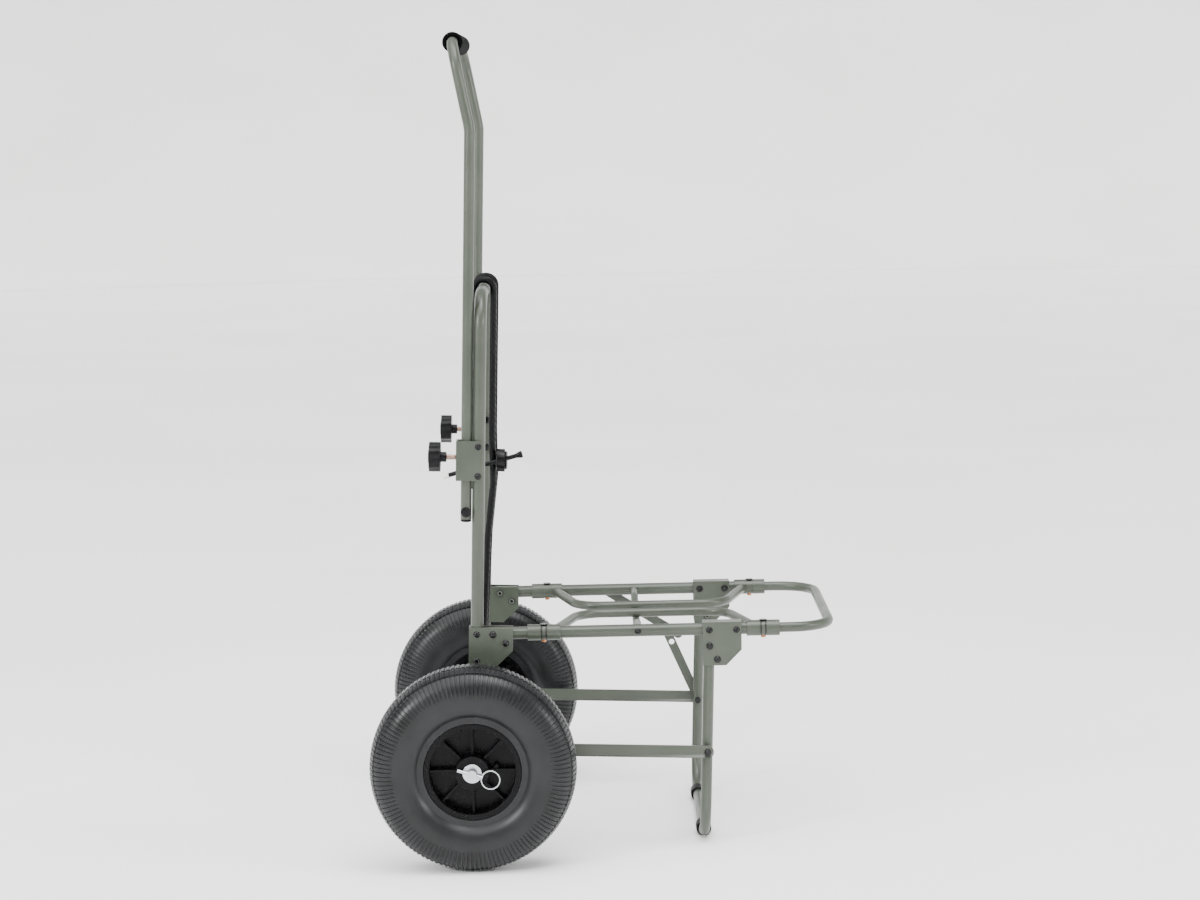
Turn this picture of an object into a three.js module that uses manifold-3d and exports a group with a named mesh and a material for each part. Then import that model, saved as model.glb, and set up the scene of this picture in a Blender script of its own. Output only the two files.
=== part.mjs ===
// Fishing trolley: a folding two-wheeled barrow for tackle boxes.
// Millimetres, +Z up, +X to the front of the platform, +Y to the far side.
// The origin lies on the floor under the middle of the whole trolley.

import * as THREE from 'three';
import { mergeVertices } from 'three/addons/utils/BufferGeometryUtils.js';
import Module from 'manifold-3d';

const wasm = await Module();
wasm.setup();

// General fits
const clearance = 0.3;
const cutOverrun = 5;
const lean = THREE.MathUtils.degToRad(2.05);

// Wheels and axle
const tyreRadius = 130;
const tyreWidth = 80;
const strutToTyre = 24;
const rimRadius = 61;
const rimSeatWidth = 60;
const rimWallInnerRadius = 54;
const rimDiscThickness = 12;
const rimRibThickness = 3;
const rimRibWidth = 40;
const rimRibCount = 8;
const hubRadius = 21;
const hubLength = 72;
const axleRadius = 6;
const axleTubeRadius = 11;
const axleTubeGap = 3.5;
const washerRadius = 12;
const washerThickness = 2;
const axleEndLength = 10;

// Axle ring pins
const ringPinRadius = 2.2;
const ringPinBack = 19;
const ringPinFront = 13.5;
const ringRadius = 11.5;
const ringWireRadius = 1.1;
const ringPinTilt = THREE.MathUtils.degToRad(17);

// Frame tubes
const tubeSpread = 155;
const uprightRadius = 8;
const uprightWall = 1.5;
const backrestHeight = 594;
const backrestCornerRadius = 42;
const railHeight = 283.5;
const railRadius = 8;
const railWall = 1.1;
const railFrontEnd = 390;
const railTail = 6.5;

// Folding linkage
const pivotAhead = 20.5;
const legPivotReach = 276;
const strutDrop = 136.5;
const pivotBoltRadius = 3;
const boltHeadRadius = 4.5;
const boltHeadHeight = 3.2;
const pinSink = 1;
const buttonShoulderShare = 0.45;
const buttonCrownShare = 0.62;
const stopBoltRadius = 3;
const rearStopReach = 16;
const frontStopDrop = 17.5;

// Bracket plates
const plateThickness = 1.8;
const plateLength = 49.5;
const plateReach = 46;
const plateEndMargin = 8.6;
const plateChamfer = 20;

// Front leg
const legRadius = 7;
const legWall = 1.2;
const legCornerRadius = 50;
const legTopMargin = 8;
const footRadius = 10;
const footFlatDrop = 9.3;
const footLength = 22;
const footSpread = 93;

// Struts and brace links
const strutWidth = 16;
const strutThickness = 3;
const strutCrankReach = 60;
const strutCrankDrop = 8;
const linkWidth = 12;
const linkThickness = 1.6;
const bracePivotSetback = 134.7;
const upperLinkLength = 100.8;
const upperLinkOverrun = 23;
const lowerLinkLength = 112.1;
const lockHoleDrop = 25.7;
const lockHoleRadius = 3.8;

// Platform cross tube, side bars, sleeves and front loop
const crossTubeReach = 185;
const crossTubeRadius = 5;
const crossTubeFlat = 62;
const crossTubeShoulder = 100;
const crossTubeBend = 25;
const sideBarRadius = 6;
const sideBarInset = 27.6;
const sideBarRootInset = 2;
const sideBarRearReach = 110;
const sideBarFrontReach = 302;
const sideBarRearRoot = 79;
const sideBarFrontRoot = 334;
const sideBarBend = 40;
const sleeveRadius = 9.75;
const sleeveLength = 42;
const rearSleeveReach = 65;
const frontSleeveReach = 345;
const sleevePinRadius = 3;
const sleevePinCapRadius = 5;
const sleevePinCapHeight = 1;
const loopRadius = 6.5;
const loopWall = 1.2;
const loopFront = 458.5;
const loopInsertion = 145;
const loopCornerRadius = 50;

// Handle, clamps and knobs
const handleRadius = 7;
const handleWall = 1.2;
const handleGap = 0.6;
const handleRise = 33.3;
const handleBendHeight = 793;
const handleTop = 902;
const handleTopSetback = 40;
const handleBendRadius = 60;
const handleCornerRadius = 37;
const gripRadius = 13;
const gripEndMargin = 1;
const plugFlange = 3;
const plugSpigot = 17;
const plugBoltHeight = 10;
const plugHeadRadius = 6.7;
const plugHeadHeight = 3;
const clampBottom = 351.3;
const clampHeight = 51;
const clampFrontReach = 5.1;
const clampBackReach = 28.7;
const knobHeight = 380.5;
const knobRadius = 19;
const knobLobes = 6;
const knobLobeDepth = 2.2;
const knobThickness = 14.6;
const knobStemRadius = 6.5;
const knobStemLength = 7.5;
const knobSetback = 48.5;
const knobScrewRadius = 3;

// Shock cords and their toggle
const cordRadius = 4.4;
const cordSpread = 40;
const cordLift = 0.5;
const toggleRadius = 15;
const toggleThickness = 11;
const toggleBack = 19.5;
const toggleHeight = 364;
const toggleOffset = 49.4;
const tieRadius = 3;
const tieBack = 48;
const tieFront = 52.7;
const tieSlope = THREE.MathUtils.degToRad(17);

// Places worked out from the sizes above
const axleHeight = tyreRadius;
const originX = (loopFront + loopRadius - tyreRadius) / 2;
const pivotHeight = (railHeight - axleHeight + pivotAhead * Math.sin(lean)) / Math.cos(lean);
const pivotX = pivotAhead * Math.cos(lean) + pivotHeight * Math.sin(lean);
const legPivotX = pivotX + legPivotReach;
const legPivotZ = railHeight - pivotAhead;
const strutPivotHeight = pivotHeight - strutDrop;
const frontBoltX = legPivotX - strutDrop * Math.sin(lean);
const frontBoltZ = legPivotZ - strutDrop * Math.cos(lean);
const rearBoltX = pivotX - strutDrop * Math.sin(lean);
const rearBoltZ = railHeight - strutDrop * Math.cos(lean);
const bracePivotX = legPivotX - bracePivotSetback;
const handleSetback = uprightRadius + handleRadius + handleGap;
const handleFoot = clampBottom - handleRise - plugHeadRadius - plugBoltHeight;
const legLength = (legPivotZ - footFlatDrop) / Math.cos(lean);

// Layers of flat pieces, measured sideways from the middle of a tube
const plateInner = uprightRadius + clearance;
const plateOuter = plateInner + plateThickness;
const headOuter = plateOuter + boltHeadHeight;
const upperLinkInner = plateOuter + 2 * clearance;
const upperLinkOuter = upperLinkInner + linkThickness;
const lowerLinkInner = upperLinkOuter + clearance;
const lowerLinkOuter = lowerLinkInner + linkThickness;
const strutInner = lowerLinkOuter + clearance;
const strutOuter = strutInner + strutThickness;
const strutHeadEnd = tubeSpread + strutOuter + clearance + boltHeadHeight;
const track = 2 * (strutHeadEnd + strutToTyre) + tyreWidth;

// Finishes
function powderCoat() {
  return new THREE.MeshStandardMaterial({ color: 0x7a8076, roughness: 0.45, metalness: 0.3 });
}

function tyreRubber() {
  return new THREE.MeshStandardMaterial({ color: 0x2c2d2f, roughness: 0.85, metalness: 0 });
}

function blackPlastic() {
  return new THREE.MeshStandardMaterial({ color: 0x1c1d1f, roughness: 0.5, metalness: 0 });
}

function zincPlate() {
  return new THREE.MeshStandardMaterial({ color: 0xb9bcbd, roughness: 0.3, metalness: 1 });
}

function blackSteel() {
  return new THREE.MeshStandardMaterial({ color: 0x222426, roughness: 0.4, metalness: 0.8 });
}

// Closed solids, joined and cut
function solidOf(geometry) {
  const bare = geometry.clone();
  bare.deleteAttribute('normal');
  bare.deleteAttribute('uv');
  const merged = mergeVertices(bare, 1e-3);
  const mesh = new wasm.Mesh({
    numProp: 3,
    vertProperties: new Float32Array(merged.attributes.position.array),
    triVerts: new Uint32Array(merged.index.array),
  });
  return new wasm.Manifold(mesh);
}

function geometryOf(solid) {
  const mesh = solid.getMesh();
  const geometry = new THREE.BufferGeometry();
  geometry.setAttribute('position', new THREE.BufferAttribute(new Float32Array(mesh.vertProperties), 3));
  geometry.setIndex(new THREE.BufferAttribute(new Uint32Array(mesh.triVerts), 1));
  geometry.computeVertexNormals();
  return geometry;
}

function joined(...geometries) {
  return geometryOf(geometries.map(solidOf).reduce((sum, next) => sum.add(next)));
}

function cut(geometry, ...tools) {
  return geometryOf(tools.map(solidOf).reduce((rest, tool) => rest.subtract(tool), solidOf(geometry)));
}

// Basic shapes
function rodY(radius, y0, y1, x, z, sides = 12) {
  const geometry = new THREE.CylinderGeometry(radius, radius, Math.abs(y1 - y0), sides);
  return geometry.translate(x, (y0 + y1) / 2, z);
}

function rodZ(radius, z0, z1, x, y, sides = 12) {
  const geometry = new THREE.CylinderGeometry(radius, radius, Math.abs(z1 - z0), sides);
  return geometry.rotateX(Math.PI / 2).translate(x, y, (z0 + z1) / 2);
}

function rodX(radius, x0, x1, y, z, sides = 12) {
  const geometry = new THREE.CylinderGeometry(radius, radius, Math.abs(x1 - x0), sides);
  return geometry.rotateZ(Math.PI / 2).translate((x0 + x1) / 2, y, z);
}

function block(x0, x1, y0, y1, z0, z1) {
  const geometry = new THREE.BoxGeometry(Math.abs(x1 - x0), Math.abs(y1 - y0), Math.abs(z1 - z0));
  return geometry.translate((x0 + x1) / 2, (y0 + y1) / 2, (z0 + z1) / 2);
}

function plateXZ(shape, y0, y1) {
  const geometry = new THREE.ExtrudeGeometry(shape, {
    depth: Math.abs(y1 - y0),
    bevelEnabled: false,
    curveSegments: 6,
  });
  return geometry.rotateX(Math.PI / 2).translate(0, Math.max(y0, y1), 0);
}

function circumscribed(radius, sides) {
  return radius / Math.cos(Math.PI / sides);
}

function roundSection(outer, inner, sides) {
  const point = (radius, i) => new THREE.Vector2(
    radius * Math.cos((2 * Math.PI * i) / sides),
    radius * Math.sin((2 * Math.PI * i) / sides),
  );
  const shape = new THREE.Shape(Array.from({ length: sides }, (_, i) => point(outer, i)));
  if (inner > 0) {
    shape.holes.push(new THREE.Path(Array.from({ length: sides }, (_, i) => point(inner, sides - i))));
  }
  return shape;
}

// A route of straight runs joined by arcs, with a station at each end of a run
class TubeRoute extends THREE.Curve {
  constructor(corners, radii, stepsPerBend = 6) {
    super();
    this.stations = [];
    corners.forEach((corner, i) => {
      if (i === 0 || i === corners.length - 1) {
        const other = i === 0 ? corners[1] : corners[i - 1];
        const along = i === 0 ? other.clone().sub(corner) : corner.clone().sub(other);
        this.stations.push({ place: corner, heading: along.normalize() });
        return;
      }
      this.addBend(corners[i - 1], corner, corners[i + 1], radii[i - 1], stepsPerBend);
    });
    this.steps = this.stations.length - 1;
  }

  addBend(before, corner, after, radius, steps) {
    const into = corner.clone().sub(before).normalize();
    const out = after.clone().sub(corner).normalize();
    const turn = Math.acos(THREE.MathUtils.clamp(into.dot(out), -1, 1));
    const trim = radius * Math.tan(turn / 2);
    const start = corner.clone().addScaledVector(into, -trim);
    const side = out.clone().addScaledVector(into, -out.dot(into)).normalize();
    const centre = start.clone().addScaledVector(side, radius);
    for (let k = 0; k <= steps; k += 1) {
      const angle = (turn * k) / steps;
      const place = centre.clone().addScaledVector(side, -radius * Math.cos(angle));
      place.addScaledVector(into, radius * Math.sin(angle));
      const heading = into.clone().multiplyScalar(Math.cos(angle)).addScaledVector(side, Math.sin(angle));
      this.stations.push({ place, heading });
    }
  }

  getPoint(t) {
    return this.stations[Math.round(t * this.steps)].place.clone();
  }

  getPointAt(u) {
    return this.getPoint(u);
  }

  getTangent(t) {
    return this.stations[Math.round(t * this.steps)].heading.clone();
  }

  getTangentAt(u) {
    return this.getTangent(u);
  }
}

function bentTube(route, outer, inner, sides = 12) {
  return new THREE.ExtrudeGeometry(roundSection(outer, inner, sides), {
    steps: route.steps,
    extrudePath: route,
    bevelEnabled: false,
  });
}

function straightTubeX(outer, inner, x0, x1, y, z, sides = 12) {
  const geometry = new THREE.ExtrudeGeometry(roundSection(outer, inner, sides), {
    depth: Math.abs(x1 - x0),
    bevelEnabled: false,
  });
  return geometry.rotateY(Math.PI / 2).translate(Math.min(x0, x1), y, z);
}

function ringY(outer, inner, y0, y1, segments = 32) {
  const profile = [[inner, y0], [outer, y0], [outer, y1], [inner, y1], [inner, y0]];
  return new THREE.LatheGeometry(profile.map(([r, y]) => new THREE.Vector2(r, y)), segments);
}

function vector(x, y, z) {
  return new THREE.Vector3(x, y, z);
}

// A headed bolt along Y, as a turned profile from its inner nut to its outer head
function boltProfile(steps, segments = 12) {
  const points = [];
  steps.forEach(([radius, from, to, lastRadius = radius]) => {
    const last = points[points.length - 1];
    if (!last || last.x !== radius || last.y !== from) {
      points.push(new THREE.Vector2(radius, from));
    }
    points.push(new THREE.Vector2(lastRadius, to));
  });
  const first = new THREE.Vector2(0, points[0].y);
  const last = new THREE.Vector2(0, points[points.length - 1].y);
  return new THREE.LatheGeometry([first, ...points, last], segments);
}

function mirroredForSide(geometry, side) {
  return side > 0 ? geometry : geometry.rotateX(Math.PI);
}

// A button head: a short cylinder under a low cone
function buttonHead(from, to) {
  const shoulder = from + (to - from) * buttonShoulderShare;
  return [[boltHeadRadius, from, shoulder], [boltHeadRadius, shoulder, to, boltHeadRadius * buttonCrownShare]];
}

function bracketBolt(side, radius) {
  const geometry = boltProfile([
    [boltHeadRadius, -headOuter, -plateOuter - clearance / 2],
    [radius, -plateOuter - clearance / 2, plateOuter + clearance / 2],
    ...buttonHead(plateOuter + clearance / 2, headOuter),
  ]);
  return mirroredForSide(geometry, side);
}

// Scene graph: the whole trolley, and the groups that share a lean
const trolley = new THREE.Group();
trolley.position.x = -originX;
const backGroup = new THREE.Group();
backGroup.position.set(0, 0, axleHeight);
backGroup.rotation.y = lean;
const legGroup = new THREE.Group();
legGroup.position.set(legPivotX, 0, legPivotZ);
legGroup.rotation.y = lean;
trolley.add(backGroup, legGroup);

function place(parent, name, geometry, material) {
  const mesh = new THREE.Mesh(geometry, material);
  mesh.name = name;
  parent.add(mesh);
  return mesh;
}

const sides = [['near', -1], ['far', 1]];

// Backrest: one tube bent into an upturned U, standing on the axle tube
function backrestFrame() {
  const foot = axleTubeRadius + clearance;
  const top = backrestHeight - uprightRadius;
  const route = new TubeRoute(
    [vector(0, -tubeSpread, foot), vector(0, -tubeSpread, top), vector(0, tubeSpread, top),
      vector(0, tubeSpread, foot)],
    [backrestCornerRadius, backrestCornerRadius],
  );
  return bentTube(route, uprightRadius, uprightRadius - uprightWall);
}
place(backGroup, 'backrest_frame', backrestFrame(), powderCoat());

// Axle: a solid shaft, cross-drilled for the ring pins, in a tube between the wheels
const axleHalf = track / 2 + hubLength / 2 + clearance + washerThickness + axleEndLength;
const ringPinY = axleHalf - axleEndLength / 2;

function ringPinHole(side) {
  const reach = axleRadius + cutOverrun;
  const hole = rodX(ringPinRadius + clearance, -reach, reach, 0, 0);
  return hole.rotateY(ringPinTilt).translate(0, side * ringPinY, axleHeight);
}

function axleShaft() {
  const shaft = rodY(axleRadius, -axleHalf, axleHalf, 0, axleHeight, 16);
  return cut(shaft, ringPinHole(-1), ringPinHole(1));
}

function axleTube() {
  const half = track / 2 - hubLength / 2 - axleTubeGap;
  const bore = circumscribed(axleRadius + clearance, 16);
  return ringY(axleTubeRadius, bore, -half, half, 16).translate(0, 0, axleHeight);
}
place(trolley, 'axle_shaft', axleShaft(), zincPlate());
place(trolley, 'axle_tube', axleTube(), powderCoat());

// Wheels: a moulded rim with ribs, a solid tyre, and an outer washer
function wheelRim() {
  const bore = circumscribed(axleRadius + clearance, 40);
  const half = [
    [bore, hubLength / 2], [hubRadius, hubLength / 2], [hubRadius, rimDiscThickness / 2],
    [rimWallInnerRadius, rimDiscThickness / 2], [rimWallInnerRadius, rimSeatWidth / 2],
    [rimRadius, rimSeatWidth / 2],
  ];
  const mirrored = half.map(([r, y]) => [r, -y]).reverse();
  const profile = [...half, ...mirrored, half[0]].reverse();
  const body = new THREE.LatheGeometry(profile.map(([r, y]) => new THREE.Vector2(r, y)), 40);
  const ribs = Array.from({ length: rimRibCount / 2 }, (_, i) => {
    const reach = (rimRadius + rimWallInnerRadius) / 2;
    const rib = block(-reach, reach, -rimRibWidth / 2, rimRibWidth / 2, -rimRibThickness / 2, rimRibThickness / 2);
    return rib.rotateY((2 * Math.PI * i) / rimRibCount);
  });
  const ribbed = joined(body, ...ribs);
  return cut(ribbed, rodY(bore, -hubLength, hubLength, 0, 0, 40));
}

function tyre() {
  const inner = circumscribed(rimRadius + clearance, 48);
  const section = tyreRadius - inner;
  const halfWidth = tyreWidth / 2;
  const flankShares = [[0.14, 0.88], [0.45, 1], [0.74, 0.95], [0.89, 0.78], [0.975, 0.5]];
  const flank = flankShares.map(([rise, width]) => [inner + section * rise, halfWidth * width]);
  const half = [[inner, rimSeatWidth / 2], ...flank];
  const mirrored = half.map(([r, y]) => [r, -y]).reverse();
  const profile = [...half, [tyreRadius, 0], ...mirrored, half[0]].reverse();
  return new THREE.LatheGeometry(profile.map(([r, y]) => new THREE.Vector2(r, y)), 48);
}

function ringPin() {
  const pin = rodX(ringPinRadius, -ringPinBack, ringPinFront, 0, 0, 10);
  const ring = new THREE.TorusGeometry(ringRadius, ringWireRadius, 6, 24);
  ring.rotateX(Math.PI / 2).translate(ringPinFront - ringWireRadius + ringRadius, 0, 0);
  return joined(pin, ring);
}

sides.forEach(([name, side]) => {
  const rim = place(trolley, `wheel_rim_${name}`, wheelRim(), blackPlastic());
  rim.position.set(0, side * (track / 2), axleHeight);
  const rubber = place(trolley, `tyre_${name}`, tyre(), tyreRubber());
  rubber.position.set(0, side * (track / 2), axleHeight);
  const seat = track / 2 + hubLength / 2 + clearance;
  const bore = circumscribed(axleRadius + clearance, 24);
  const washer = ringY(washerRadius, bore, 0, washerThickness, 24);
  const washerMesh = place(trolley, `axle_washer_${name}`, washer, zincPlate());
  washerMesh.position.set(0, side > 0 ? seat : -seat - washerThickness, axleHeight);
  const pin = place(trolley, `ring_pin_${name}`, ringPin(), zincPlate());
  pin.position.set(0, side * ringPinY, axleHeight);
  pin.rotation.y = ringPinTilt;
});

// Folded channel plates: two cheeks joined by a back, the free corner cut off
function bracketShape() {
  const shape = new THREE.Shape();
  const low = plateEndMargin - plateLength;
  shape.moveTo(-plateOuter, plateEndMargin);
  shape.lineTo(plateReach, plateEndMargin);
  shape.lineTo(plateReach, low + plateChamfer);
  shape.lineTo(plateReach - plateChamfer, low);
  shape.lineTo(-plateOuter, low);
  shape.closePath();
  return shape;
}

function bracketChannel() {
  const low = plateEndMargin - plateLength;
  return joined(
    plateXZ(bracketShape(), plateInner, plateOuter),
    plateXZ(bracketShape(), -plateOuter, -plateInner),
    block(-plateOuter, -plateInner, -plateOuter, plateOuter, low, plateEndMargin),
  );
}

// Rear bracket stop: the rail's underside rests on this bolt
const rearStopZ = railHeight - railRadius - clearance - stopBoltRadius;
const rearStopX = pivotX + rearStopReach;
const rearStopAhead = rearStopX * Math.cos(lean) - (rearStopZ - axleHeight) * Math.sin(lean);
const rearStopHeight = rearStopX * Math.sin(lean) + (rearStopZ - axleHeight) * Math.cos(lean);

function rearBracket() {
  const reach = plateOuter + cutOverrun;
  return cut(
    bracketChannel(),
    rodY(pivotBoltRadius + clearance, -reach, reach, pivotAhead, 0),
    rodY(stopBoltRadius + clearance, -reach, reach, rearStopAhead, rearStopHeight - pivotHeight),
  );
}

// Strut lug: a thick plate welded to the upright and the axle tube, with the strut's stud
function strutLug(side) {
  const ear = new THREE.Shape();
  const half = strutWidth / 2;
  ear.moveTo(-uprightRadius, strutPivotHeight - half);
  ear.lineTo(pivotAhead, strutPivotHeight - half);
  ear.absarc(pivotAhead, strutPivotHeight, half, -Math.PI / 2, Math.PI / 2, false);
  ear.lineTo(-uprightRadius, strutPivotHeight + half);
  ear.closePath();
  const inner = tubeSpread + plateInner;
  const outer = tubeSpread + lowerLinkOuter;
  const headStart = strutHeadEnd - boltHeadHeight;
  const plate = plateXZ(ear, side * inner, side * outer);
  const stud = rodY(pivotBoltRadius, side * (inner + pinSink), side * strutHeadEnd, pivotAhead, strutPivotHeight);
  const head = rodY(boltHeadRadius, side * headStart, side * strutHeadEnd, pivotAhead, strutPivotHeight);
  const seat = rodY(axleTubeRadius + clearance, side * (inner - cutOverrun), side * (outer + cutOverrun), 0, 0, 16);
  return cut(joined(plate, stud, head), seat);
}

sides.forEach(([name, side]) => {
  const bracket = place(backGroup, `rear_bracket_${name}`, rearBracket(), powderCoat());
  bracket.position.set(0, side * tubeSpread, pivotHeight);
  const pivot = place(backGroup, `platform_pivot_bolt_${name}`, bracketBolt(side, pivotBoltRadius), blackSteel());
  pivot.position.set(pivotAhead, side * tubeSpread, pivotHeight);
  const stop = place(backGroup, `platform_stop_bolt_${name}`, bracketBolt(side, stopBoltRadius), blackSteel());
  stop.position.set(rearStopAhead, side * tubeSpread, rearStopHeight);
  place(backGroup, `strut_lug_${name}`, strutLug(side), powderCoat());
});

// Handle: a second U that slides behind the backrest, its top bent back to the grip
function handleFrame() {
  const x = -handleSetback;
  const boltZ = handleFoot + plugBoltHeight;
  const half = (side) => [
    vector(x, side * tubeSpread, handleFoot),
    vector(x, side * tubeSpread, handleBendHeight),
    vector(-handleTopSetback, side * tubeSpread, handleTop),
  ];
  const route = new TubeRoute(
    [...half(-1), ...half(1).reverse()],
    [handleBendRadius, handleCornerRadius, handleCornerRadius, handleBendRadius],
  );
  const tube = bentTube(route, handleRadius, handleRadius - handleWall);
  const reach = tubeSpread + handleRadius + cutOverrun;
  const inner = tubeSpread - handleRadius - cutOverrun;
  return cut(
    tube,
    rodY(pivotBoltRadius + clearance, -reach, -inner, x, boltZ),
    rodY(pivotBoltRadius + clearance, inner, reach, x, boltZ),
  );
}

function handleGrip() {
  const half = tubeSpread - handleCornerRadius - gripEndMargin;
  const bore = circumscribed(handleRadius + clearance, 16);
  return ringY(gripRadius, bore, -half, half, 24);
}

// Foot plug with its stop bolt, whose round head meets the clamp when the handle is drawn up
function handlePlug(side) {
  const spigot = handleRadius - handleWall - clearance;
  const headStart = handleRadius + clearance;
  const headEnd = headStart + plugHeadHeight;
  return joined(
    rodZ(handleRadius, -plugFlange - clearance, -clearance, 0, 0),
    rodZ(spigot * Math.cos(Math.PI / 12), -plugFlange, plugSpigot, 0, 0),
    rodY(pivotBoltRadius, -side * headStart, side * headEnd, 0, plugBoltHeight),
    rodY(plugHeadRadius, side * headStart, side * headEnd, 0, plugBoltHeight),
  );
}

// Clamp: a channel round the handle tube, bolted to the upright, with a tapped hole behind
function handleClamp() {
  const cheek = (y0, y1) => block(-clampBackReach, clampFrontReach, y0, y1, 0, clampHeight);
  const screwZ = knobHeight - clampBottom;
  return cut(
    joined(
      cheek(plateInner, plateOuter),
      cheek(-plateOuter, -plateInner),
      block(-clampBackReach, -clampBackReach + plateThickness, -plateOuter, plateOuter, 0, clampHeight),
    ),
    rodX(knobScrewRadius + clearance, -clampBackReach - cutOverrun, -clampBackReach + cutOverrun, 0, screwZ),
  );
}

// Clamp knob: a lobed head on a stem and a screw that presses on the handle tube
function clampKnob() {
  const outline = new THREE.Shape();
  const count = knobLobes * 6;
  for (let i = 0; i < count; i += 1) {
    const angle = (2 * Math.PI * i) / count;
    const radius = knobRadius - knobLobeDepth * (0.5 - 0.5 * Math.cos(knobLobes * angle));
    outline[i === 0 ? 'moveTo' : 'lineTo'](radius * Math.cos(angle), radius * Math.sin(angle));
  }
  outline.closePath();
  const head = new THREE.ExtrudeGeometry(outline, { depth: knobThickness, bevelEnabled: false });
  const tip = handleSetback + handleRadius + clearance;
  const stem = rodZ(knobStemRadius, -knobStemLength, knobThickness / 2, 0, 0);
  const screw = rodZ(knobScrewRadius, tip - knobSetback, 0, 0, 0);
  return joined(head, stem, screw).rotateY(-Math.PI / 2);
}

place(backGroup, 'handle_frame', handleFrame(), powderCoat());
const gripMesh = place(backGroup, 'handle_grip', handleGrip(), blackPlastic());
gripMesh.position.set(-handleTopSetback, 0, handleTop);

sides.forEach(([name, side]) => {
  const plug = place(backGroup, `handle_end_plug_${name}`, handlePlug(side), blackPlastic());
  plug.position.set(-handleSetback, side * tubeSpread, handleFoot);
  const clamp = place(backGroup, `handle_clamp_${name}`, handleClamp(), powderCoat());
  clamp.position.set(0, side * tubeSpread, clampBottom);
  const knob = place(backGroup, `clamp_knob_${name}`, clampKnob(), blackPlastic());
  knob.position.set(-knobSetback, side * tubeSpread, knobHeight);
});

// Shock cords: each hooks over the backrest's top bar and runs down its front to the axle tube
function shockCord(side) {
  const y = side * cordSpread;
  const turn = uprightRadius + cordRadius + cordLift;
  const top = backrestHeight - uprightRadius;
  const foot = axleTubeRadius + cordRadius;
  const front = [
    vector(turn, y, toggleHeight + toggleRadius * 2),
    vector(turn + cordRadius / 2, y, toggleHeight - toggleRadius * 2),
    vector(turn - cordRadius, y, (toggleHeight + pivotHeight) / 2),
    vector(cordRadius, y, pivotHeight - plateReach / 2),
    vector(0, y, foot),
  ];
  const route = new TubeRoute(
    [
      vector(-turn, y, toggleHeight),
      vector(-turn, y, top + turn),
      vector(turn, y, top + turn),
      ...front,
    ],
    [turn - clearance, turn - clearance, ...front.slice(0, -1).map(() => toggleRadius * 4)],
    5,
  );
  return bentTube(route, cordRadius, 0, 8);
}

// Cord toggle: a round boss against the near cord, with a stiff tie through it
function cordToggle() {
  const boss = rodX(toggleRadius, toggleBack, toggleBack + toggleThickness, 0, 0, 20);
  const tie = rodX(tieRadius, -tieBack, tieFront, 0, 0, 10).rotateY(-tieSlope);
  const rise = (toggleBack + toggleThickness / 2) * Math.tan(tieSlope);
  return joined(boss, tie.translate(0, 0, -rise));
}

sides.forEach(([name, side]) => {
  place(backGroup, `shock_cord_${name}`, shockCord(side), blackPlastic());
});
const toggleMesh = place(backGroup, 'cord_toggle', cordToggle(), blackPlastic());
toggleMesh.position.set(0, -toggleOffset, toggleHeight);

// Platform rails: two straight tubes, cross-drilled at the rear pivot
function rail() {
  const tube = straightTubeX(railRadius, railRadius - railWall, pivotX - railTail, railFrontEnd, 0, railHeight);
  const reach = railRadius + cutOverrun;
  return cut(tube, rodY(pivotBoltRadius + clearance, -reach, reach, pivotX, railHeight));
}

// Front bracket: the same channel, turned to hang from the rail, with the leg's pivot
const frontStopZ = legPivotZ - frontStopDrop;
const frontStopX = legPivotX - frontStopDrop * Math.tan(lean)
  + (legRadius + clearance + stopBoltRadius) / Math.cos(lean);

function frontBracket() {
  const channel = bracketChannel().rotateY(Math.PI / 2).translate(legPivotX, 0, railHeight);
  const turned = channel.scale(-1, 1, 1).translate(2 * legPivotX, 0, 0);
  const facing = geometryOf(solidOf(flipped(turned)));
  const reach = plateOuter + cutOverrun;
  return cut(
    facing,
    rodY(pivotBoltRadius + clearance, -reach, reach, legPivotX, legPivotZ),
    rodY(stopBoltRadius + clearance, -reach, reach, frontStopX, frontStopZ),
  );
}

function flipped(geometry) {
  const copy = geometry.clone();
  const index = Array.from(copy.index.array);
  for (let i = 0; i < index.length; i += 3) {
    [index[i + 1], index[i + 2]] = [index[i + 2], index[i + 1]];
  }
  copy.setIndex(index);
  return copy;
}

sides.forEach(([name, side]) => {
  const tube = place(trolley, `rail_${name}`, rail(), powderCoat());
  tube.position.y = side * tubeSpread;
  const bracket = place(trolley, `front_bracket_${name}`, frontBracket(), powderCoat());
  bracket.position.y = side * tubeSpread;
  const pivot = place(trolley, `leg_pivot_bolt_${name}`, bracketBolt(side, pivotBoltRadius), blackSteel());
  pivot.position.set(legPivotX, side * tubeSpread, legPivotZ);
  const stop = place(trolley, `leg_stop_bolt_${name}`, bracketBolt(side, stopBoltRadius), blackSteel());
  stop.position.set(frontStopX, side * tubeSpread, frontStopZ);
});

// Cross tube between the rails, dipped in the middle to carry the side bars
function crossTube() {
  const x = pivotX + crossTubeReach;
  const end = tubeSpread - railRadius - clearance;
  const low = railHeight - sideBarRadius - clearance - crossTubeRadius;
  const route = new TubeRoute(
    [
      vector(x, -end, railHeight), vector(x, -crossTubeShoulder, railHeight),
      vector(x, -crossTubeFlat, low), vector(x, crossTubeFlat, low),
      vector(x, crossTubeShoulder, railHeight), vector(x, end, railHeight),
    ],
    [crossTubeBend, crossTubeBend, crossTubeBend, crossTubeBend],
    2,
  );
  return bentTube(route, crossTubeRadius, 0, 10);
}
place(trolley, 'cross_tube', crossTube(), powderCoat());

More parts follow.
